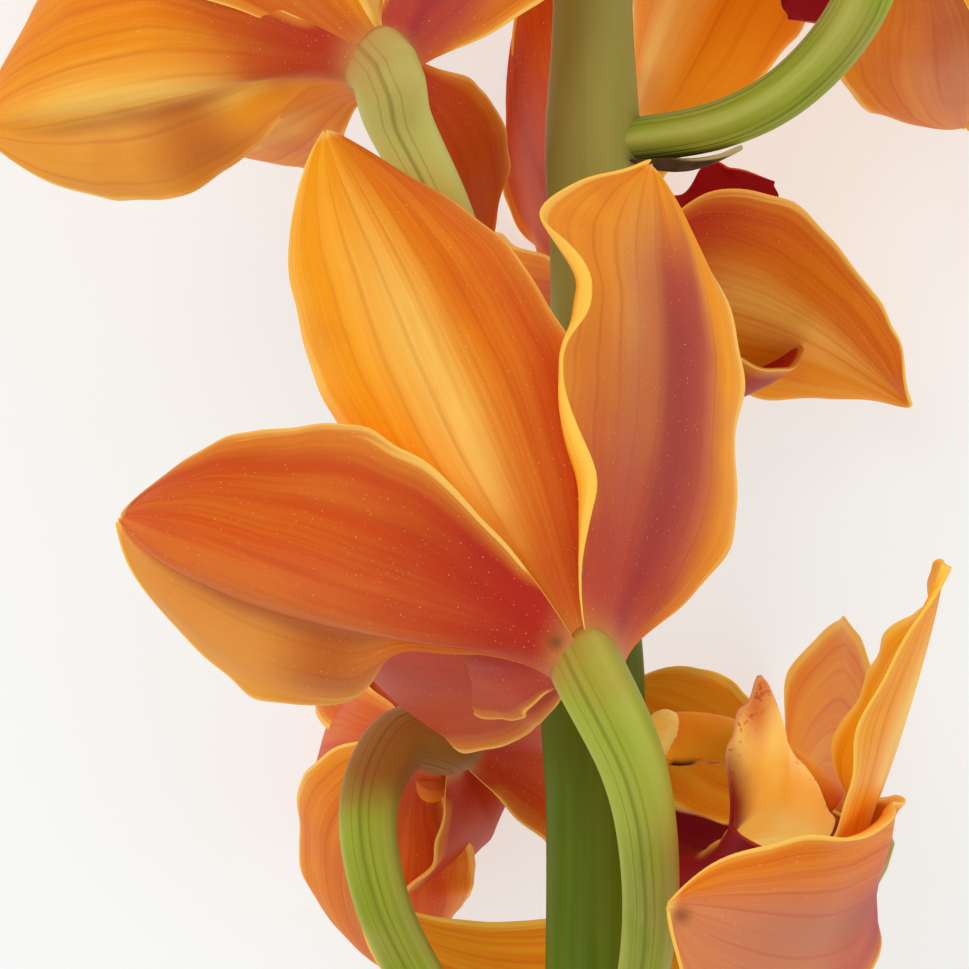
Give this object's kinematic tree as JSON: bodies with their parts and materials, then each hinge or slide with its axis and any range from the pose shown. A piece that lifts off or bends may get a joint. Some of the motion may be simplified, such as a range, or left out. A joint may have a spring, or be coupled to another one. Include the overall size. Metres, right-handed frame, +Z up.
{
  "type": "cymbidium orchid stem",
  "caption": "Cut orchid stem lying down: bent scape with dry sheaths, stalked open flowers with spreading petals, hooded lips and columns, closed buds at the tip.",
  "frame": {"origin": "middle of the bounding box's underside, on the surface that the stem lies on", "axes": "+Y along the stem from its cut end to its tip, +Z up from the surface that it lies on, +X to the right across the raceme"},
  "size_m": [0.1498, 0.5624, 0.1116],
  "materials": {
    "stem": "satin living stem, fresh green, olive towards the flowers",
    "pedicels": "satin, pale yellow-green with three grooves",
    "petals": "satin, orange with fine veins, dusky rose in the middle of the back, yellow rim",
    "lip": "satin, dark red inside and at the tip, cream yellow with red spots outside",
    "column": "satin, yellow",
    "bracts": "matt, dry and dark brown",
    "buds": "satin, green turning orange",
    "sheaths": "matt, dry straw colour"
  },
  "bodies": {
    "root": {"stem": "stem", "flower_1_perianth": "petals", "flower_1_lip": "lip", "flower_1_column": "column", "flower_1_pedicel": "pedicels", "flower_1_bract": "bracts", "flower_2_perianth": "petals", "flower_2_lip": "lip", "flower_2_column": "column", "flower_2_pedicel": "pedicels", "flower_2_bract": "bracts", "flower_3_perianth": "petals", "flower_3_lip": "lip", "flower_3_column": "column", "flower_3_pedicel": "pedicels", "flower_3_bract": "bracts", "flower_4_perianth": "petals", "flower_4_lip": "lip", "flower_4_column": "column", "flower_4_pedicel": "pedicels", "flower_4_bract": "bracts", "flower_5_perianth": "petals", "flower_5_lip": "lip", "flower_5_column": "column", "flower_5_pedicel": "pedicels", "flower_5_bract": "bracts", "flower_6_perianth": "petals", "flower_6_lip": "lip", "flower_6_column": "column", "flower_6_pedicel": "pedicels", "flower_6_bract": "bracts", "flower_7_perianth": "petals", "flower_7_lip": "lip", "flower_7_column": "column", "flower_7_pedicel": "pedicels", "flower_7_bract": "bracts", "flower_8_perianth": "petals", "flower_8_lip": "lip", "flower_8_column": "column", "flower_8_pedicel": "pedicels", "flower_8_bract": "bracts", "flower_9_perianth": "petals", "flower_9_lip": "lip", "flower_9_column": "column", "flower_9_pedicel": "pedicels", "flower_9_bract": "bracts", "bud_1": "buds", "bud_2": "buds", "bud_3": "buds", "bud_4": "buds", "sheath_1": "sheaths", "sheath_2": "sheaths", "sheath_3": "sheaths"}
  },
  "joints": []
}
